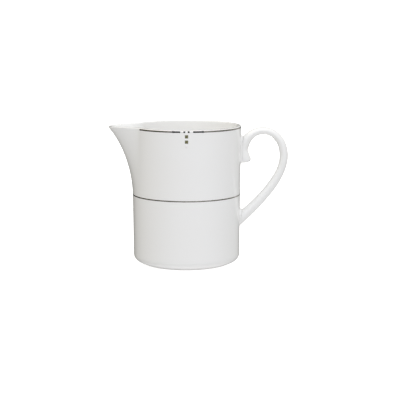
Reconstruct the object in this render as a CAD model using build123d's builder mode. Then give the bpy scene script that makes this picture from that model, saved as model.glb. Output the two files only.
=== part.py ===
from build123d import *
import os
from math import cos, radians, sin, sqrt, tan

# A porcelain cream jug. The body stands on z = 0 with its axis on Z. The spout points along -X, the handle along
# +X, and the two motifs face -Y and +Y. All sizes are in millimetres and degrees.

# Body
height = 90.0
waist_height = 45.3  # of the platinum waist line
waist_radius = 35.0  # outside
draft = 0.6  # the wall opens this much towards the rim
wall = 2.4
floor_thickness = 3.4
base_corner = 4.5
inner_corner = 3.0
foot_height = 1.2
foot_radius = 29.0
foot_width = 2.6
foot_edge = 0.5
rim_edge = 0.8

# Spout: pulled out of the wall inside a wedge of the plan, along a ridge that is an arc in side view
spout_start = 44.0
ridge_arc = 76.5
spout_half_angle = 34.0
channel_half_angle = 32.0
spout_step = 6.0
spout_points = 9
lip_dip = 0.75
lip_run = 16.0

# Handle: centre line x and z, then the section's thickness in the plane of the handle and its width across.
# The upper end runs down the wall half sunk in it, so that it meets the wall squarely.
handle_stations = [
    (30.5, 25.4, 8.2, 9.4),
    (35.9, 29.9, 7.4, 8.8),
    (40.6, 33.8, 6.6, 8.2),
    (48.8, 42.1, 6.0, 7.6),
    (56.8, 52.2, 5.7, 7.4),
    (61.8, 61.7, 5.3, 7.2),
    (63.4, 70.5, 5.3, 7.2),
    (61.4, 78.9, 5.1, 7.0),
    (56.3, 84.6, 4.7, 6.8),
    (50.0, 86.45, 4.7, 6.8),
    (44.3, 85.1, 4.9, 6.8),
    (39.6, 81.3, 6.0, 7.0),
    (36.9, 76.4, 7.2, 7.2),
    (36.5, 73.6, 7.0, 7.3),
    (36.7, 71.4, 7.7, 7.4),
    (37.1, 69.2, 8.6, 7.4),
    (37.4, 67.3, 9.3, 7.2),
    (37.5, 65.7, 9.4, 6.8),
]
spur_edge = 1.4

# Luting slip that sticks the handle on: a thin bed on the wall, a little larger than the handle's foot
slip = 0.5
bed_turn = 15.0  # degrees to each side of the handle, wider than both beds
upper_bed = (66.0, 83.8, 7.0)  # bottom, top, width
lower_bed = (24.6, 36.4, 10.4)

# Fired decoration
enamel = 0.06
seat = 0.02  # hairline between the decoration or the slip and the wall that it lies on
rim_line_height = 89.05
rim_line_width = 1.0
waist_line_width = 0.8
left_bar, right_bar, bar_width = (-9.0, -3.9), (4.1, 11.0), 1.0
bar_end_length, bar_end_width = 1.4, 1.2
dot_offset, dot_size = 1.35, 1.1
pearl_offset, pearl_size = 2.5, 1.0
square_size, square_pitch, square_drop = 2.0, 3.3, 2.9
drop_size, drop_pitch = 1.3, 3.1

front, back = -89.2, 89.2  # middles of the motifs, a little towards the handle
towards_spout = 180.0


def outside(z):
    """Outside radius of the plain wall."""
    return waist_radius + (z - waist_height) * tan(radians(draft))


def ridge(z):
    """How far the spout's ridge stands out of the wall."""
    rise = max(z - spout_start, 0.0)
    return ridge_arc - sqrt(ridge_arc**2 - rise**2)


def spout_outline(z, inset, half_angle):
    """Points across the spout at one height, from one side of the wedge to the other."""
    points = []
    for step in range(spout_points + 1):
        share = 2 * step / spout_points - 1
        angle = radians(towards_spout + share * half_angle)
        radius = outside(z) - inset + ridge(z) * cos(radians(90 * share)) ** 2
        points.append((radius * cos(angle), radius * sin(angle)))
    return points


def body_section(z, inset, half_angle):
    """A closed outline at one height: the round wall, and the spout drawn out of it."""
    radius = outside(z) - inset
    start, end = towards_spout - half_angle, towards_spout + half_angle
    with BuildSketch(Plane.XY.offset(z)) as section:
        with BuildLine():
            CenterArc((0, 0), radius, end, 360 - 2 * half_angle)
            if ridge(z) > 0:
                ends = [(-sin(radians(angle)), cos(radians(angle))) for angle in (start, end)]
                Spline(spout_outline(z, inset, half_angle), tangents=ends)
            else:
                CenterArc((0, 0), radius, start, 2 * half_angle)
        make_face()
    return section.sketch


def spout_sections(inset, half_angle):
    """Outlines of the upper half of the body, outside or inside, from the spout's start to above the rim."""
    count = int((height - spout_start) / spout_step) + 1
    heights = [spout_start + spout_step * step for step in range(count + 1)]
    return [body_section(z, inset, half_angle) for z in heights]


def add_ring_piece(low, high, start, end, inner, outer):
    """A curved tile that follows the wall between two heights and two directions."""
    side = Plane(
        origin=(0, 0, 0),
        x_dir=(cos(radians(start)), sin(radians(start)), 0),
        z_dir=(sin(radians(start)), -cos(radians(start)), 0),
    )
    with BuildSketch(side) as profile:
        with BuildLine():
            Polyline(
                (outside(low) + inner, low),
                (outside(low) + outer, low),
                (outside(high) + outer, high),
                (outside(high) + inner, high),
                close=True,
            )
        make_face()
    revolve(profile.sketch, axis=Axis.Z, revolution_arc=end - start)


def add_enamel(middle, width, start, end):
    """A skin of enamel or platinum on the wall, centred on one height."""
    add_ring_piece(middle - width / 2, middle + width / 2, start, end, seat, seat + enamel)


def angle_of(distance):
    """The turn about the axis that moves this far along the rim line."""
    return distance / outside(rim_line_height) / radians(1)


def save(part, name):
    part.label = name
    export_step(part, f"parts/{name}.step")


os.makedirs("parts", exist_ok=True)

# Slip-cast body: plain wall and floor, the spout, the foot ring, the hollow, and the dipped and rounded rim
with BuildPart() as jug_body:
    with BuildSketch(Plane.XZ) as lower_outside:
        with BuildLine():
            Polyline(
                (0, foot_height),
                (outside(foot_height), foot_height),
                (outside(spout_start), spout_start),
                (0, spout_start),
                close=True,
            )
        make_face()
        fillet(vertices().group_by(Axis.Y)[0].sort_by(Axis.X)[-1], base_corner)
    revolve(axis=Axis.Z)
    loft(spout_sections(0, spout_half_angle))
    with BuildSketch(Plane.XZ) as foot:
        with Locations((foot_radius - foot_width / 2, foot_height)):
            Rectangle(foot_width, 2 * foot_height)
        fillet(vertices().group_by(Axis.Y)[0], foot_edge)
    revolve(axis=Axis.Z)
    with BuildSketch(Plane.XZ) as lower_hollow:
        with BuildLine():
            Polyline(
                (0, foot_height + floor_thickness),
                (outside(foot_height) - wall, foot_height + floor_thickness),
                (outside(spout_start) - wall, spout_start),
                (0, spout_start),
                close=True,
            )
        make_face()
        fillet(vertices().group_by(Axis.Y)[0].sort_by(Axis.X)[-1], inner_corner)
    revolve(axis=Axis.Z, mode=Mode.SUBTRACT)
    loft(spout_sections(wall, channel_half_angle), mode=Mode.SUBTRACT)
    with BuildSketch(Plane.XZ) as above_rim:
        tip = -outside(height) - ridge(height)
        with BuildLine():
            Line((tip + lip_run, height), (-tip, height))
            TangentArc((tip + lip_run, height), (tip, height - lip_dip), tangent=(-1, 0))
            Polyline((tip, height - lip_dip), (2 * tip, height - 2 * lip_dip), (2 * tip, 2 * height))
            Polyline((2 * tip, 2 * height), (-tip, 2 * height), (-tip, height))
        make_face()
    extrude(amount=-tip, both=True, mode=Mode.SUBTRACT)
    rim = edges().filter_by(lambda edge: edge.center().Z > height - 2 * lip_dip)
    fillet(rim, rim_edge)
save(jug_body.part, "jug_body")

# Cast handle: an oval section along the centre line, its lower end flared into the wall and its upper end turned
# down the wall to a short spur
with BuildPart() as handle:
    with BuildLine() as centre_line:
        curve = Spline([(x, 0, z) for x, z, thickness, width in handle_stations])
    for x, z, thickness, width in handle_stations:
        along = curve.tangent_at(Vector(x, 0, z))
        with BuildSketch(Plane(origin=(x, 0, z), x_dir=(-along.Z, 0, along.X), z_dir=along)):
            Ellipse(thickness / 2, width / 2)
    loft()
    fillet(faces().filter_by(GeomType.PLANE).sort_by(Axis.Z)[-1].edges(), spur_edge)
    with BuildSketch(Plane.XZ):
        with BuildLine():
            Polyline(
                (0, 0),
                (outside(0) + slip, 0),
                (outside(height) + slip, height),
                (0, height),
                close=True,
            )
        make_face()
    revolve(axis=Axis.Z, mode=Mode.SUBTRACT)
save(handle.part, "handle")

# Luting slip under each foot of the handle
for name, (bottom, top, width) in {"upper_joint_slip": upper_bed, "lower_joint_slip": lower_bed}.items():
    with BuildPart() as bed:
        add_ring_piece(bottom, top, -bed_turn, bed_turn, seat, slip)
        with BuildSketch(Plane.YZ):
            with Locations((0, (bottom + top) / 2)):
                SlotOverall(top - bottom, width, rotation=90)
        extrude(amount=2 * waist_radius, mode=Mode.INTERSECT)
    save(bed.part, name)

# Platinum lines: the rim line stops at the spout and at each motif, the waist line goes all the way round
rim_arcs = {
    "rim_line_handle_side": (front + angle_of(right_bar[1]), back + angle_of(left_bar[0])),
    "rim_line_spout_front": (spout_half_angle - towards_spout, front + angle_of(left_bar[0])),
    "rim_line_spout_back": (back + angle_of(right_bar[1]), towards_spout - spout_half_angle),
}
for name, (start, end) in rim_arcs.items():
    with BuildPart() as line:
        add_enamel(rim_line_height, rim_line_width, start, end)
    save(line.part, name)

with BuildPart() as waist_line:
    add_enamel(waist_height, waist_line_width, 0, 360)
save(waist_line.part, "waist_line")

# Motif, once on each side: each mark is its place along the rim line, its height, its length and its width
first_square = rim_line_height - square_drop
second_square = first_square - square_pitch
bars = [
    ((start + end) / 2, rim_line_height, end - start, bar_width)
    for start, end in (left_bar, right_bar)
]
bar_ends = [
    (place, rim_line_height, bar_end_length, bar_end_width)
    for place in (left_bar[0] + bar_end_length / 2, right_bar[1] - bar_end_length / 2)
]
motif = {
    "motif_bars": bars + bar_ends,
    "motif_dots": [(place, rim_line_height, dot_size, dot_size) for place in (-dot_offset, dot_offset)],
    "motif_pearls": [
        (-pearl_offset, rim_line_height, pearl_size, pearl_size),
        (pearl_offset, rim_line_height, pearl_size, pearl_size),
        (0, second_square - drop_pitch, drop_size, drop_size),
    ],
    "motif_squares": [(0, middle, square_size, square_size) for middle in (first_square, second_square)],
}
for name, marks in motif.items():
    with BuildPart() as motif_part:
        for side in (front, back):
            for place, middle, length, mark_width in marks:
                start = side + angle_of(place - length / 2)
                add_enamel(middle, mark_width, start, start + angle_of(length))
    save(motif_part.part, name)
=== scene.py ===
from math import atan2, cos, hypot, pi, radians, sin, sqrt, tan

import bmesh
import bpy
from bpy.props import FloatProperty, FloatVectorProperty, IntProperty, PointerProperty
from mathutils import Matrix, Vector


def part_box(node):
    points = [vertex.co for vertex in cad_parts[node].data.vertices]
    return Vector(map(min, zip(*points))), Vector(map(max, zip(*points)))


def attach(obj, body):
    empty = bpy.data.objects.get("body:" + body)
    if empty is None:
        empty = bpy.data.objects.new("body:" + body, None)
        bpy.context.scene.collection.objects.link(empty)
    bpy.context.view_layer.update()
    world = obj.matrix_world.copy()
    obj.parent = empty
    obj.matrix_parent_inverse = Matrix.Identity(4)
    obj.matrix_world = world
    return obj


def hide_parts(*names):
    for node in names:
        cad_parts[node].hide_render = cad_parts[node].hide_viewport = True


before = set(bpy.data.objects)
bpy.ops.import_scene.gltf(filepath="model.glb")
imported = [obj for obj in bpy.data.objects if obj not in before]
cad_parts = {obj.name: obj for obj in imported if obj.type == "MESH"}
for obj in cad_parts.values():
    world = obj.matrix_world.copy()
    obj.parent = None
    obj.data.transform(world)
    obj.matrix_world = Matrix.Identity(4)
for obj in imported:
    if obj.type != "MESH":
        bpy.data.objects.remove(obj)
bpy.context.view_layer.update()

bl_info = {
    "name": "Porcelain Cream Jug",
    "version": (1, 0, 0),
    "blender": (4, 5, 0),
    "location": "View3D > Sidebar > Cream Jug",
    "description": "Glazed porcelain cream jug with a luted handle, platinum lines and an enamel motif",
    "category": "Add Mesh",
}

MM = 0.001
BODY_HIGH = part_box("jug_body")[1]
WAIST_LOW, WAIST_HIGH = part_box("waist_line")
RIM_LOW, RIM_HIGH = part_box("rim_line_handle_side")
ROOT = "root"

# Directions of the middles of the two motifs, a little towards the handle.
FRONT, BACK = radians(-89.2), radians(89.2)

# Handle, from its lower end, in mm: centre line x and z, then the section's thickness in the plane of the
# handle and its width across it. The upper end runs down the wall, half sunk in it, and ends in the spur.
HANDLE_STATIONS = (
    (30.5, 25.4, 8.2, 9.4),
    (35.9, 29.9, 7.4, 8.8),
    (40.6, 33.8, 6.6, 8.2),
    (48.8, 42.1, 6.0, 7.6),
    (56.8, 52.2, 5.7, 7.4),
    (61.8, 61.7, 5.3, 7.2),
    (63.4, 70.5, 5.3, 7.2),
    (61.4, 78.9, 5.1, 7.0),
    (56.3, 84.6, 4.7, 6.8),
    (50.0, 86.45, 4.7, 6.8),
    (44.3, 85.1, 4.9, 6.8),
    (39.6, 81.3, 6.0, 7.0),
    (36.9, 76.4, 7.2, 7.2),
    (36.5, 73.6, 7.0, 7.3),
    (36.7, 71.4, 7.7, 7.4),
    (37.1, 69.2, 8.6, 7.4),
    (37.4, 67.3, 9.3, 7.2),
)

# Beds of luting slip under the handle's feet, in mm: bottom, top and width.
SLIP_BEDS = {
    "upper_joint_slip": (65.4, 83.0, 7.2),
    "lower_joint_slip": (25.6, 35.0, 8.8),
}

# Section of a fired line, a low dome: share of half its width, and share of its thickness.
LINE_DOME = ((-1, 0), (-0.85, 0.7), (0, 1), (0.5, 0.9), (0.85, 0.7), (1, 0))

# Broad studio lights: direction about the jug from +X and rise above the table, in degrees, then focus, and
# strength in red, green and blue.
SKY_LIGHTS = (
    (0, -90, 3.0, (1.85, 1.85, 1.85)),
    (0, 15, 6.0, (0.4, 0.4, 0.38)),
    (45, 15, 6.0, (0.8, 0.8, 0.78)),
    (90, 50, 3.0, (0.22, 0.22, 0.22)),
    (315, 15, 6.0, (0.7, 0.7, 0.7)),
    (180, 50, 3.0, (1.05, 1.0, 0.85)),
    (270, 15, 3.0, (0.17, 0.17, 0.18)),
    (270, 50, 3.0, (1.43, 1.46, 1.54)),
)


def linear(code):
    """A hex sRGB colour as linear red, green and blue."""
    shares = [int(code[i : i + 2], 16) / 255 for i in (1, 3, 5)]
    return tuple(s / 12.92 if s <= 0.04045 else ((s + 0.055) / 1.055) ** 2.4 for s in shares)


def length(name, description, default):
    """A length that the user can change, in metres."""
    return FloatProperty(name=name, description=description, default=default, unit="LENGTH", precision=5)


def angle(name, description, degrees):
    """An angle that the user can change, given in degrees."""
    return FloatProperty(name=name, description=description, default=radians(degrees), subtype="ANGLE")


def colour(name, description, code):
    """A colour that the user can change, given as a hex sRGB code."""
    return FloatVectorProperty(
        name=name, description=description, default=linear(code), size=3, min=0, max=1, subtype="COLOR"
    )


class JugSizes(bpy.types.PropertyGroup):
    """Sizes of the jug's pieces."""

    height: length("Height", "Rim above the table", BODY_HIGH.z)
    waist_height: length("Waist height", "Waist line above the table", (WAIST_LOW.z + WAIST_HIGH.z) / 2)
    waist_radius: length("Waist radius", "Outside radius at the waist line", 35 * MM)
    draft: angle("Draft", "Opening of the wall towards the rim", 0.6)
    wall: length("Wall", "Thickness of the wall", 2.4 * MM)
    floor: length("Floor", "Height of the inside floor", 4.6 * MM)
    base_corner: length("Base corner", "Radius between wall and underside", 4.5 * MM)
    inner_corner: length("Inner corner", "Radius between wall and floor inside", 3.6 * MM)
    foot_height: length("Foot height", "Height of the foot ring", 1.2 * MM)
    foot_radius: length("Foot radius", "Outside radius of the foot ring", 29 * MM)
    foot_width: length("Foot width", "Width of the foot ring", 2.6 * MM)
    foot_edge: length("Foot edge", "Radius of the foot ring's edges", 0.5 * MM)
    rim_edge: length("Rim edge", "Radius of the rim's edges", 0.7 * MM)
    spout_start: length("Spout start", "Height where the spout leaves the wall", 44 * MM)
    ridge_arc: length("Ridge arc", "Radius of the spout's ridge in side view", 76.5 * MM)
    spout_angle: angle("Spout half angle", "Half of the spout's share of the wall", 34)
    channel_angle: angle("Channel half angle", "The same inside the wall", 32)
    lip_dip: length("Lip dip", "How far the pouring lip drops below the rim", 0.75 * MM)
    lip_run: length("Lip run", "Length over which the lip drops", 16 * MM)
    lip_depth: length("Lip depth", "Height of wall that drops with the lip", 12 * MM)
    spur_edge: length("Spur edge", "Rounding of the spur's end", 1.6 * MM)
    slip_fillet: length("Slip fillet", "Radius of the luting slip round the handle's feet", 1.3 * MM)
    slip_sunk: length("Slip sunk", "How far the luting slip reaches into the wall", 0.3 * MM)
    line_thickness: length("Line thickness", "Thickness of the fired decoration", 0.06 * MM)
    seat: length("Seat", "Hairline between wall and decoration", 0.015 * MM)
    left_bar_inner: length("Left bar inner end", "Distance from the middle of the motif", 3.9 * MM)
    left_bar_outer: length("Left bar outer end", "Distance from the middle of the motif", 9.0 * MM)
    right_bar_inner: length("Right bar inner end", "Distance from the middle of the motif", 4.1 * MM)
    right_bar_outer: length("Right bar outer end", "Distance from the middle of the motif", 11.0 * MM)
    bar_width: length("Bar width", "Width of the black bars", 1.0 * MM)
    bar_end_length: length("Bar end length", "Length of the block at a bar's outer end", 1.4 * MM)
    bar_end_width: length("Bar end width", "Width of the block at a bar's outer end", 1.2 * MM)
    dot_place: length("Dot place", "Black dots from the middle of the motif", 1.35 * MM)
    dot: length("Dot", "Size of a black dot", 1.1 * MM)
    pearl_place: length("Pearl place", "White pearls from the middle of the motif", 2.5 * MM)
    pearl: length("Pearl", "Size of a white pearl", 1.0 * MM)
    first_square: length("First square", "Upper square below the rim line", 2.9 * MM)
    second_square: length("Second square", "Lower square below the rim line", 6.2 * MM)
    square: length("Square", "Size of an olive square", 2.0 * MM)
    drop_place: length("Drop place", "White drop below the rim line", 9.3 * MM)
    drop: length("Drop", "Size of the white drop", 1.3 * MM)
    turns: IntProperty(name="Body segments", description="Faces round the body", default=360, min=24)
    handle_segments: IntProperty(name="Handle segments", description="Faces round it", default=48, min=8)


class StageSizes(bpy.types.PropertyGroup):
    """Sizes of the stage, and the place and lens of its camera."""

    paper_flat: length("Paper flat", "Radius of the flat part of the paper", 1.6)
    paper_bend: length("Paper bend", "Radius of the bend at its edge", 1.0)
    paper_height: length("Paper height", "Top edge of the paper above the table", 2.4)
    camera_side: length("Camera side", "Camera to the right of the jug's axis", 8.855 * MM)
    camera_distance: length("Camera distance", "Camera in front of the jug's axis", 770 * MM)
    camera_height: length("Camera height", "Camera above the table", 165.06 * MM)
    camera_pitch: angle("Camera pitch", "How far the camera looks down", 9.1673)
    focal_length: FloatProperty(name="Focal length", description="Lens in mm", default=107.2)


class JugColours(bpy.types.PropertyGroup):
    """Colours of the jug's finishes."""

    porcelain: colour("Porcelain", "White body seen through the clear glaze", "#fcfcfb")
    porcelain_warm: colour("Warm porcelain", "Where the glaze pools a little thicker", "#fbfaf8")
    bisque: colour("Bisque", "Unglazed foot ring", "#cfc9bd")
    platinum: colour("Platinum", "Bright fired platinum", "#b3afa9")
    platinum_thin: colour("Thin platinum", "Platinum where the brush left less", "#98938d")
    black: colour("Black enamel", "Bars and dots", "#141315")
    olive: colour("Olive enamel", "Squares", "#6c6a4c")
    white: colour("White enamel", "Pearls", "#f4efef")
    paper: colour("Paper", "Studio floor and backdrop", "#f4f4f4")


def outside(sizes, z):
    """Outside radius of the plain wall at a height."""
    return sizes.waist_radius + (z - sizes.waist_height) * tan(sizes.draft)


def face(sizes, z):
    """Outside radius of the wall at a height, with the rounding of the rim taken off."""
    over = min(max(z - sizes.height + sizes.rim_edge, 0), sizes.rim_edge)
    return outside(sizes, z) - sizes.rim_edge + sqrt(sizes.rim_edge**2 - over**2)


def ridge(sizes, z):
    """How far the spout's ridge stands out of the wall at a height."""
    rise = max(z - sizes.spout_start, 0)
    return sizes.ridge_arc - sqrt(sizes.ridge_arc**2 - rise**2)


def smooth_step(low, high, value):
    """A share that rises smoothly from 0 to 1 between two values."""
    share = min(max((value - low) / (high - low), 0), 1)
    return share * share * (3 - 2 * share)


def arc(centre, radius, start, end, steps):
    """Points on an arc in the profile plane. Its angles are in degrees from the outward direction."""
    angles = [radians(start + (end - start) * step / steps) for step in range(steps + 1)]
    return [(centre[0] + radius * cos(a), centre[1] + radius * sin(a)) for a in angles]


def wall_points(sizes, low, high, inset, step):
    """Points up or down the wall, about a step apart."""
    count = max(int(abs(high - low) / step), 1)
    heights = [low + (high - low) * i / count for i in range(count + 1)]
    return [(outside(sizes, z) - inset, z) for z in heights]


def body_profile(sizes):
    """Half section of the body: underside, foot ring, wall, rim, inside wall and floor. Its points stand
    closer where the spout is pulled out of the wall."""
    s = sizes
    edge = s.foot_edge
    plain_step, spout_step, rim_gap = 4 * MM, 1.2 * MM, 0.5 * MM
    rim_start = s.height - s.rim_edge
    foot_inner = s.foot_radius - s.foot_width
    base_radius = outside(s, s.foot_height + s.base_corner) - s.base_corner
    rim_outer = outside(s, s.height)
    inner_floor = outside(s, s.floor + s.inner_corner) - s.wall - s.inner_corner
    points = [(r * foot_inner, s.foot_height) for r in (0, 0.25, 0.5, 0.75)]
    points += arc((foot_inner - edge, s.foot_height - edge), edge, 90, 0, 4)
    points += arc((foot_inner + edge, edge), edge, 180, 270, 4)
    points += arc((s.foot_radius - edge, edge), edge, 270, 360, 4)
    points += arc((s.foot_radius + edge, s.foot_height - edge), edge, 180, 90, 4)
    points += arc((base_radius, s.foot_height + s.base_corner), s.base_corner, -90, 0, 14)
    points += wall_points(s, s.foot_height + s.base_corner + MM, s.spout_start, 0, plain_step)
    points += wall_points(s, s.spout_start + MM, rim_start - rim_gap, 0, spout_step)
    points += arc((rim_outer - s.rim_edge, rim_start), s.rim_edge, 0, 90, 8)
    points += arc((rim_outer - s.wall + s.rim_edge, rim_start), s.rim_edge, 90, 180, 8)
    points += wall_points(s, rim_start - rim_gap, s.spout_start, s.wall, spout_step)
    points += wall_points(s, s.spout_start - MM, s.floor + s.inner_corner + MM, s.wall, plain_step)
    points += arc((inner_floor, s.floor + s.inner_corner), s.inner_corner, 0, -90, 10)
    points += [(share * inner_floor, s.floor) for share in (0.75, 0.5, 0.25, 0)]
    return points


def spin_profile(bm, points, start, turn, steps, closed=False):
    """Spins points (radius, height) about the jug's axis from one direction through a turn."""
    whole = abs(turn - 2 * pi) < 1e-6
    direction = Vector((cos(start), sin(start), 0))
    verts = [bm.verts.new(direction * r + Vector((0, 0, z))) for r, z in points]
    ends = verts[1:] + verts[:1] if closed else verts[1:]
    edges = [bm.edges.new(pair) for pair in zip(verts, ends)]
    bmesh.ops.spin(
        bm, geom=verts + edges, cent=(0, 0, 0), axis=(0, 0, 1), angle=turn, steps=steps, use_merge=whole
    )
    if closed and not whole:
        bmesh.ops.holes_fill(bm, edges=[e for e in bm.edges if e.is_boundary])


def pull_spout(bm, sizes):
    """Moves the wall out into the spout, inside and outside, and drops the pouring lip."""
    tip = outside(sizes, sizes.height) + ridge(sizes, sizes.height)
    for vert in bm.verts:
        x, y, z = vert.co
        radius = hypot(x, y)
        turn = abs(atan2(y, -x))
        depth = min(max((outside(sizes, z) - radius) / sizes.wall, 0), 1)
        half = sizes.spout_angle + (sizes.channel_angle - sizes.spout_angle) * depth
        if z <= sizes.spout_start or turn >= half:
            continue
        radius += ridge(sizes, z) * cos(pi / 2 * turn / half) ** 2
        out = radius * cos(turn)
        run = max(out - tip + sizes.lip_run, 0) / sizes.lip_run
        share = smooth_step(sizes.height - sizes.lip_depth, sizes.height, z)
        vert.co = (-out, radius * sin(turn) * (1 if y > 0 else -1), z - sizes.lip_dip * run**2 * share)


def add_piece(bm, name, material, nodes):
    """Makes the finished object, which stands for its CAD nodes and rides on the jug."""
    merge_distance = 0.001 * MM
    bmesh.ops.remove_doubles(bm, verts=bm.verts, dist=merge_distance)
    bmesh.ops.recalc_face_normals(bm, faces=bm.faces)
    mesh = bpy.data.meshes.new(name)
    bm.to_mesh(mesh)
    bm.free()
    mesh.shade_smooth()
    mesh.materials.append(material)
    piece = bpy.data.objects.new(name, mesh)
    bpy.context.scene.collection.objects.link(piece)
    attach(piece, ROOT)
    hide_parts(*nodes)


def handle_path():
    """Places and sizes along the handle, in metres, on a smooth curve through the stations."""
    steps = 9
    stations = [Vector(station) * MM for station in HANDLE_STATIONS]
    padded = [2 * stations[0] - stations[1]] + stations + [2 * stations[-1] - stations[-2]]
    path = []
    for a, b, c, d in zip(padded, padded[1:], padded[2:], padded[3:]):
        for step in range(steps):
            t = step / steps
            curve = 2 * b + (c - a) * t
            curve += (2 * a - 5 * b + 4 * c - d) * t**2
            curve += (3 * b - a - 3 * c + d) * t**3
            path.append(0.5 * curve)
    return path + [stations[-1]]


def ring_matrix(place, along, thickness, width):
    """Turns a unit circle into the handle's section at a place."""
    across = Vector((along.z, 0, -along.x))
    turn = Matrix((across, (0, 1, 0), along)).transposed().to_4x4()
    return Matrix.Translation(place) @ turn @ Matrix.Diagonal((thickness / 2, width / 2, 1, 1))


def handle_matrices(end_radius):
    """The section's matrix at each step along the handle, and over the rounded end of the spur."""
    end_steps = 8
    path = handle_path()
    matrices = []
    for before, here, after in zip([path[0]] + path, path, path[1:] + [path[-1]]):
        along = Vector((after.x - before.x, 0, after.y - before.y)).normalized()
        matrices.append(ring_matrix(Vector((here.x, 0, here.y)), along, here.z, here.w))
    end = Vector((path[-1].x, 0, path[-1].y))
    for step in range(1, end_steps + 1):
        angle = pi / 2 * step / end_steps
        inset = 2 * end_radius * (1 - cos(angle))
        place = end + along * end_radius * sin(angle)
        matrices.append(ring_matrix(place, along, path[-1].z - inset, path[-1].w - inset))
    return matrices


def sweep_rings(bm, matrices, segments):
    """Extrudes a circle through the sections and closes both ends."""
    ring = bmesh.ops.create_circle(bm, radius=1, segments=segments, matrix=matrices[0])["verts"]
    edges = list({edge for vert in ring for edge in vert.link_edges})
    first = edges
    for before, here in zip(matrices, matrices[1:]):
        grown = bmesh.ops.extrude_edge_only(bm, edges=edges)["geom"]
        verts = [item for item in grown if isinstance(item, bmesh.types.BMVert)]
        edges = [item for item in grown if isinstance(item, bmesh.types.BMEdge)]
        bmesh.ops.transform(bm, matrix=here @ before.inverted(), verts=verts)
    for rim in (first, edges):
        faces = bmesh.ops.edgeloop_fill(bm, edges=rim)["faces"]
        bmesh.ops.poke(bm, faces=faces)


def on_wall(sizes, along, z, lift):
    """A point this far along the wall from +X, at a height, lifted off the wall."""
    angle = along / outside(sizes, z)
    radius = outside(sizes, z) + lift
    return Vector((radius * cos(angle), radius * sin(angle), z))


def slip_bed(bm, sizes, bottom, top, width):
    """Luting slip squeezed out round a foot of the handle: a concave fillet on the wall, round a slot."""
    segments, rings = 96, 8
    fillet, sunk = sizes.slip_fillet, sizes.slip_sunk
    section = [(fillet, -sunk)]
    for step in range(rings + 1):
        angle = pi / 2 * step / rings
        section.append((fillet * (1 - sin(angle)), fillet * (1 - cos(angle))))
    section.append((-2 * sunk, -sunk))
    reach = (top - bottom - width) / 2
    middle = (top + bottom) / 2
    loops = []
    for offset, lift in section:
        loop = []
        for i in range(segments):
            angle = 2 * pi * i / segments
            radius = width / 2 + offset
            shift = reach if sin(angle) >= 0 else -reach
            place = on_wall(sizes, radius * cos(angle), middle + shift + radius * sin(angle), lift)
            loop.append(bm.verts.new(place))
        loops.append([bm.edges.new(pair) for pair in zip(loop, loop[1:] + loop[:1])])
    for lower, upper in zip(loops, loops[1:] + loops[:1]):
        bmesh.ops.bridge_loops(bm, edges=lower + upper)


def add_node(tree, kind, settings=(), links=()):
    """Adds a shader node, sets its own values or its inputs, and links its inputs."""
    node = tree.nodes.new(kind)
    for key, value in dict(settings).items():
        if isinstance(key, str) and hasattr(node, key):
            setattr(node, key, value)
        else:
            node.inputs[key].default_value = value
    for key, socket in dict(links).items():
        tree.links.new(socket, node.inputs[key])
    return node


def new_material(name):
    """A material with one shader, its node tree, and the place on the object for its patterns."""
    material = bpy.data.materials.new(name)
    material.use_nodes = True
    tree = material.node_tree
    tree.nodes.clear()
    shader = add_node(tree, "ShaderNodeBsdfPrincipled")
    add_node(tree, "ShaderNodeOutputMaterial", links={"Surface": shader.outputs[0]})
    place = add_node(tree, "ShaderNodeTexCoord").outputs["Object"]
    return material, tree, shader, place


def rgba(value):
    """A colour with full alpha, as the sockets take it."""
    return (*value, 1)


def glazed_porcelain(colours):
    """Slip-cast hard porcelain under a clear gloss glaze: milky white, with the faint ripple and warmth of a
    fired glaze. The flat of the foot ring is wiped clean of glaze, so it is matt, greyer and gritty."""
    pool_size, ripple_size, grit_size = 30 * MM, 6 * MM, 0.3 * MM
    material, tree, shader, place = new_material("glazed_porcelain")
    pool = add_node(
        tree, "ShaderNodeTexNoise", {"Scale": 1 / pool_size, "Detail": 2.0}, {"Vector": place}
    ).outputs["Fac"]
    ripple = add_node(
        tree, "ShaderNodeTexNoise", {"Scale": 1 / ripple_size, "Detail": 1.0}, {"Vector": place}
    ).outputs["Fac"]
    grit = add_node(
        tree, "ShaderNodeTexNoise", {"Scale": 1 / grit_size, "Detail": 3.0}, {"Vector": place}
    ).outputs["Fac"]
    height = add_node(tree, "ShaderNodeSeparateXYZ", links={0: place}).outputs["Z"]
    bare = add_node(
        tree,
        "ShaderNodeMapRange",
        {"From Min": 0.35 * MM, "From Max": 0.15 * MM, "To Min": 0.0, "To Max": 1.0},
        {"Value": height},
    ).outputs[0]
    glaze = add_node(
        tree,
        "ShaderNodeMix",
        {"data_type": "RGBA", 6: rgba(colours.porcelain), 7: rgba(colours.porcelain_warm)},
        {0: pool},
    ).outputs[2]
    clay = add_node(
        tree,
        "ShaderNodeMix",
        {"data_type": "RGBA", 6: rgba(colours.bisque), 7: rgba(colours.porcelain_warm)},
        {0: grit},
    ).outputs[2]
    skin = add_node(tree, "ShaderNodeMix", {"data_type": "RGBA"}, {0: bare, 6: glaze, 7: clay}).outputs[2]
    tree.links.new(skin, shader.inputs["Base Color"])
    gloss = add_node(
        tree, "ShaderNodeMapRange", {"To Min": 0.06, "To Max": 0.12}, {"Value": ripple}
    ).outputs[0]
    rough = add_node(tree, "ShaderNodeMix", {"data_type": "FLOAT", 3: 0.85}, {0: bare, 2: gloss}).outputs[0]
    tree.links.new(rough, shader.inputs["Roughness"])
    waves = add_node(
        tree, "ShaderNodeBump", {"Strength": 0.1, "Distance": 0.01 * MM}, {"Height": ripple}
    ).outputs[0]
    sand = add_node(
        tree,
        "ShaderNodeBump",
        {"Distance": 0.05 * MM},
        {"Strength": bare, "Height": grit, "Normal": waves},
    ).outputs[0]
    tree.links.new(sand, shader.inputs["Normal"])
    shader.inputs["IOR"].default_value = 1.5
    return material


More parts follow.
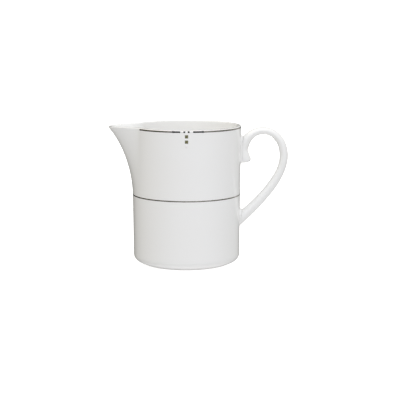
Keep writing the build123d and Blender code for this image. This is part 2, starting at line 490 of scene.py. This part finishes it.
def fired_platinum(colours):
    """Burnished platinum, brushed on as a liquid and fired on the glaze: a grey mirror, faintly streaked
    along the line by the banding brush."""
    streak_length, streaks_across = 4 * MM, 12
    material, tree, shader, place = new_material("fired_platinum")
    stretch = add_node(
        tree, "ShaderNodeMapping", {"Scale": (1, 1, streaks_across)}, {"Vector": place}
    ).outputs[0]
    streak = add_node(
        tree, "ShaderNodeTexNoise", {"Scale": 1 / streak_length, "Detail": 3.0}, {"Vector": stretch}
    ).outputs["Fac"]
    metal = add_node(
        tree,
        "ShaderNodeMix",
        {"data_type": "RGBA", 6: rgba(colours.platinum), 7: rgba(colours.platinum_thin)},
        {0: streak},
    ).outputs[2]
    rough = add_node(
        tree, "ShaderNodeMapRange", {"To Min": 0.14, "To Max": 0.34}, {"Value": streak}
    ).outputs[0]
    tree.links.new(metal, shader.inputs["Base Color"])
    tree.links.new(rough, shader.inputs["Roughness"])
    shader.inputs["Metallic"].default_value = 1
    return material


def fired_enamel(name, value):
    """Gloss on-glaze enamel, screen printed and fired: slightly mottled, with a soft shine."""
    mottle_size = 0.5 * MM
    material, tree, shader, place = new_material(name)
    mottle = add_node(
        tree, "ShaderNodeTexNoise", {"Scale": 1 / mottle_size, "Detail": 2.0}, {"Vector": place}
    ).outputs["Fac"]
    lighter = [min(channel * 1.25 + 0.004, 1) for channel in value]
    glass = add_node(
        tree, "ShaderNodeMix", {"data_type": "RGBA", 6: rgba(value), 7: rgba(lighter)}, {0: mottle}
    ).outputs[2]
    rough = add_node(
        tree, "ShaderNodeMapRange", {"To Min": 0.12, "To Max": 0.3}, {"Value": mottle}
    ).outputs[0]
    bump = add_node(
        tree, "ShaderNodeBump", {"Strength": 0.3, "Distance": 0.01 * MM}, {"Height": mottle}
    ).outputs[0]
    tree.links.new(glass, shader.inputs["Base Color"])
    tree.links.new(rough, shader.inputs["Roughness"])
    tree.links.new(bump, shader.inputs["Normal"])
    return material


def porcelain_material(context):
    """The glazed porcelain that the body, the handle and the slip share."""
    return bpy.data.materials.get("glazed_porcelain") or glazed_porcelain(context.scene.jug_colours)


class JUG_OT_body(bpy.types.Operator):
    """Add the slip-cast body with its spout, foot ring and rounded rim"""

    bl_idname = "jug.body"
    bl_label = "Body"

    def execute(self, context):
        sizes = context.scene.jug_sizes
        bm = bmesh.new()
        spin_profile(bm, body_profile(sizes), 0, 2 * pi, sizes.turns)
        pull_spout(bm, sizes)
        add_piece(bm, "body_shell", porcelain_material(context), ["jug_body"])
        return {"FINISHED"}


class JUG_OT_handle(bpy.types.Operator):
    """Add the cast handle with its spur"""

    bl_idname = "jug.handle"
    bl_label = "Handle"

    def execute(self, context):
        sizes = context.scene.jug_sizes
        bm = bmesh.new()
        sweep_rings(bm, handle_matrices(sizes.spur_edge), sizes.handle_segments)
        add_piece(bm, "loop_handle", porcelain_material(context), ["handle"])
        return {"FINISHED"}


class JUG_OT_slip(bpy.types.Operator):
    """Add the luting slip round both feet of the handle"""

    bl_idname = "jug.slip"
    bl_label = "Luting Slip"

    def execute(self, context):
        sizes = context.scene.jug_sizes
        for node, (bottom, top, width) in SLIP_BEDS.items():
            bm = bmesh.new()
            slip_bed(bm, sizes, bottom * MM, top * MM, width * MM)
            add_piece(bm, node + "_bead", porcelain_material(context), [node])
        return {"FINISHED"}


def line_profile(sizes, middle, width):
    """Section of a fired line on the wall, round its middle height."""
    half = width / 2
    points = []
    for share, lift in LINE_DOME:
        z = middle + share * half
        points.append((face(sizes, z) + sizes.seat + lift * sizes.line_thickness, z))
    return points


class JUG_OT_lines(bpy.types.Operator):
    """Add the platinum rim and waist lines"""

    bl_idname = "jug.lines"
    bl_label = "Platinum Lines"

    def execute(self, context):
        sizes = context.scene.jug_sizes
        platinum = fired_platinum(context.scene.jug_colours)
        rim_middle, rim_width = (RIM_LOW.z + RIM_HIGH.z) / 2, RIM_HIGH.z - RIM_LOW.z
        left = sizes.left_bar_outer / outside(sizes, rim_middle)
        right = sizes.right_bar_outer / outside(sizes, rim_middle)
        stops = {
            "rim_line_handle_side": (FRONT + right, BACK - left),
            "rim_line_spout_front": (sizes.spout_angle - pi, FRONT - left),
            "rim_line_spout_back": (BACK + right, pi - sizes.spout_angle),
        }
        for node, (start, end) in stops.items():
            bm = bmesh.new()
            steps = max(int((end - start) / radians(1)), 1)
            profile = line_profile(sizes, rim_middle, rim_width)
            spin_profile(bm, profile, start, end - start, steps, closed=True)
            add_piece(bm, node + "_platinum", platinum, [node])
        bm = bmesh.new()
        profile = line_profile(sizes, sizes.waist_height, WAIST_HIGH.z - WAIST_LOW.z)
        spin_profile(bm, profile, 0, 2 * pi, sizes.turns, closed=True)
        add_piece(bm, "waist_line_platinum", platinum, ["waist_line"])
        return {"FINISHED"}


def add_mark(bm, sizes, side, place, middle, mark_length, mark_width):
    """A small curved tile of enamel on the wall, with softened edges."""
    tile = bmesh.ops.create_grid(bm, x_segments=6, y_segments=4, size=0.5)["verts"]
    faces = list({face for vert in tile for face in vert.link_faces})
    grown = bmesh.ops.extrude_face_region(bm, geom=faces)["geom"]
    raised = [item for item in grown if isinstance(item, bmesh.types.BMVert)]
    bmesh.ops.translate(bm, vec=(0, 0, 1), verts=raised)
    shrink = 1 - 2 * sizes.line_thickness / min(mark_length, mark_width)
    for vert in tile + raised:
        top = vert.co.z > 0.5
        scale = shrink if top else 1
        z = middle + vert.co.y * mark_width * scale
        radius = face(sizes, z) + sizes.seat + (sizes.line_thickness if top else 0)
        angle = side + (place + vert.co.x * mark_length * scale) / outside(sizes, middle)
        vert.co = (radius * cos(angle), radius * sin(angle), z)


class JUG_OT_motif(bpy.types.Operator):
    """Add the enamel motif on both sides"""

    bl_idname = "jug.motif"
    bl_label = "Motif"

    def execute(self, context):
        sizes, colours = context.scene.jug_sizes, context.scene.jug_colours
        line = (RIM_LOW.z + RIM_HIGH.z) / 2
        bars = []
        for turn, inner, outer in (
            (-1, sizes.left_bar_inner, sizes.left_bar_outer),
            (1, sizes.right_bar_inner, sizes.right_bar_outer),
        ):
            block = outer - sizes.bar_end_length
            bars.append((turn * (inner + block) / 2, line, block - inner, sizes.bar_width))
            bars.append((turn * (block + outer) / 2, line, sizes.bar_end_length, sizes.bar_end_width))
        dots = [(turn * sizes.dot_place, line, sizes.dot, sizes.dot) for turn in (-1, 1)]
        pearls = [(turn * sizes.pearl_place, line, sizes.pearl, sizes.pearl) for turn in (-1, 1)]
        pearls.append((0, line - sizes.drop_place, sizes.drop, sizes.drop))
        depths = (sizes.first_square, sizes.second_square)
        squares = [(0, line - depth, sizes.square, sizes.square) for depth in depths]
        black = fired_enamel("black_enamel", colours.black)
        pieces = {
            "motif_bars": (bars, black, "black_enamel"),
            "motif_dots": (dots, black, "black_enamel"),
            "motif_squares": (squares, fired_enamel("olive_enamel", colours.olive), "olive_enamel"),
            "motif_pearls": (pearls, fired_enamel("white_enamel", colours.white), "white_enamel"),
        }
        for node, (marks, material, slot) in pieces.items():
            bm = bmesh.new()
            for side in (FRONT, BACK):
                for place, middle, mark_length, mark_width in marks:
                    add_mark(bm, sizes, side, place, middle, mark_length, mark_width)
            add_piece(bm, node + "_enamel", material, [node])
        return {"FINISHED"}


def studio_paper(colours):
    """Seamless white background paper, matt, lit from behind like a light table so that it stays white. It
    can be seen through from below."""
    fibre_size = 1.5 * MM
    material, tree, shader, place = new_material("studio_paper")
    fibre = add_node(
        tree, "ShaderNodeTexNoise", {"Scale": 1 / fibre_size, "Detail": 2.0}, {"Vector": place}
    ).outputs["Fac"]
    lighter = [min(channel * 1.01, 1) for channel in colours.paper]
    pulp = add_node(
        tree, "ShaderNodeMix", {"data_type": "RGBA", 6: rgba(colours.paper), 7: rgba(lighter)}, {0: fibre}
    ).outputs[2]
    tree.links.new(pulp, shader.inputs["Base Color"])
    shader.inputs["Roughness"].default_value = 0.9
    shader.inputs["Specular IOR Level"].default_value = 0.1
    shader.inputs["Emission Color"].default_value = (1, 1, 1, 1)
    shader.inputs["Emission Strength"].default_value = 0.5
    clear = add_node(tree, "ShaderNodeBsdfTransparent").outputs[0]
    below = add_node(tree, "ShaderNodeNewGeometry").outputs["Backfacing"]
    both = add_node(tree, "ShaderNodeMixShader", links={0: below, 1: shader.outputs[0], 2: clear}).outputs[0]
    output = next(node for node in tree.nodes if node.type == "OUTPUT_MATERIAL")
    tree.links.new(both, output.inputs["Surface"])
    return material


def studio_sky():
    """World light of a product table: a light table below, a cool soft box high in front, a warm one high on
    the left, a faint one high behind, and four cards low round the front and the right. Nothing is lit low on
    the left, so the jug's outline stays darker there."""
    world = bpy.data.worlds.new("soft_tent")
    world.use_nodes = True
    tree = world.node_tree
    tree.nodes.clear()
    place = add_node(tree, "ShaderNodeTexCoord").outputs["Generated"]
    direction = add_node(tree, "ShaderNodeVectorMath", {"operation": "NORMALIZE"}, {0: place}).outputs[0]
    total = None
    for turn, rise, focus, strength in SKY_LIGHTS:
        turn, rise = radians(turn), radians(rise)
        dot = {"operation": "DOT_PRODUCT", 1: (cos(turn) * cos(rise), sin(turn) * cos(rise), sin(rise))}
        facing = add_node(tree, "ShaderNodeVectorMath", dot, {0: direction}).outputs["Value"]
        front = add_node(tree, "ShaderNodeMath", {"operation": "MAXIMUM", 1: 0.0}, {0: facing}).outputs[0]
        lobe = add_node(tree, "ShaderNodeMath", {"operation": "POWER", 1: focus}, {0: front}).outputs[0]
        scale = {"operation": "SCALE", 0: strength}
        light = add_node(tree, "ShaderNodeVectorMath", scale, {"Scale": lobe}).outputs[0]
        if total:
            both = {0: total, 1: light}
            light = add_node(tree, "ShaderNodeVectorMath", {"operation": "ADD"}, both).outputs[0]
        total = light
    background = add_node(tree, "ShaderNodeBackground", {"Strength": 1.0}, {"Color": total})
    add_node(tree, "ShaderNodeOutputWorld", links={"Surface": background.outputs[0]})
    return world


class JUG_OT_stage(bpy.types.Operator):
    """Add the seamless white stage, the soft studio light and the camera"""

    bl_idname = "jug.stage"
    bl_label = "Stage"

    def execute(self, context):
        scene, sizes = context.scene, context.scene.stage_sizes
        flat, bend = sizes.paper_flat, sizes.paper_bend
        bm = bmesh.new()
        paper = [(share * flat, 0) for share in (0, 0.05, 0.2, 0.5)] + arc((flat, bend), bend, -90, 0, 12)
        spin_profile(bm, paper + [(flat + bend, sizes.paper_height)], 0, 2 * pi, 96)
        bmesh.ops.remove_doubles(bm, verts=bm.verts, dist=MM)
        bmesh.ops.recalc_face_normals(bm, faces=bm.faces)
        bmesh.ops.reverse_faces(bm, faces=bm.faces)
        mesh = bpy.data.meshes.new("paper_sweep")
        bm.to_mesh(mesh)
        bm.free()
        mesh.shade_smooth()
        mesh.materials.append(studio_paper(scene.jug_colours))
        stage = bpy.data.objects.new("paper_sweep", mesh)
        scene.collection.objects.link(stage)
        # The sky lights the jug from below too, so the paper neither shades it nor shows in its glaze.
        stage.visible_glossy = False
        stage.visible_diffuse = False
        stage.visible_shadow = False
        scene.world = studio_sky()
        lens = bpy.data.cameras.new("product_camera")
        lens.lens = sizes.focal_length
        lens.sensor_width = 36
        camera = bpy.data.objects.new("product_camera", lens)
        place = (sizes.camera_side, -sizes.camera_distance, sizes.camera_height)
        pitch = Matrix.Rotation(pi / 2 - sizes.camera_pitch, 4, "X")
        camera.matrix_world = Matrix.Translation(place) @ pitch
        scene.collection.objects.link(camera)
        scene.camera = camera
        scene.view_settings.view_transform = "Standard"
        return {"FINISHED"}


PIECE_OPERATORS = (JUG_OT_body, JUG_OT_handle, JUG_OT_slip, JUG_OT_lines, JUG_OT_motif, JUG_OT_stage)


class JUG_PT_panel(bpy.types.Panel):
    """Lists the jug's pieces and sizes"""

    bl_idname = "JUG_PT_panel"
    bl_label = "Cream Jug"
    bl_space_type = "VIEW_3D"
    bl_region_type = "UI"
    bl_category = "Cream Jug"

    def draw(self, context):
        for operator in PIECE_OPERATORS:
            self.layout.operator(operator.bl_idname)
        scene = context.scene
        for group in (scene.jug_sizes, scene.jug_colours, scene.stage_sizes):
            # The first two properties are the ones that every group has.
            for name in group.bl_rna.properties.keys()[2:]:
                self.layout.prop(group, name)


CLASSES = (JugSizes, StageSizes, JugColours, *PIECE_OPERATORS, JUG_PT_panel)


def register():
    for item in CLASSES:
        bpy.utils.register_class(item)
    bpy.types.Scene.jug_sizes = PointerProperty(type=JugSizes)
    bpy.types.Scene.jug_colours = PointerProperty(type=JugColours)
    bpy.types.Scene.stage_sizes = PointerProperty(type=StageSizes)


def unregister():
    del bpy.types.Scene.stage_sizes
    del bpy.types.Scene.jug_colours
    del bpy.types.Scene.jug_sizes
    for item in reversed(CLASSES):
        bpy.utils.unregister_class(item)


def main():
    register()
    bpy.ops.jug.body()
    bpy.ops.jug.handle()
    bpy.ops.jug.slip()
    bpy.ops.jug.lines()
    bpy.ops.jug.motif()
    bpy.ops.jug.stage()


if __name__ == "__main__":
    main()
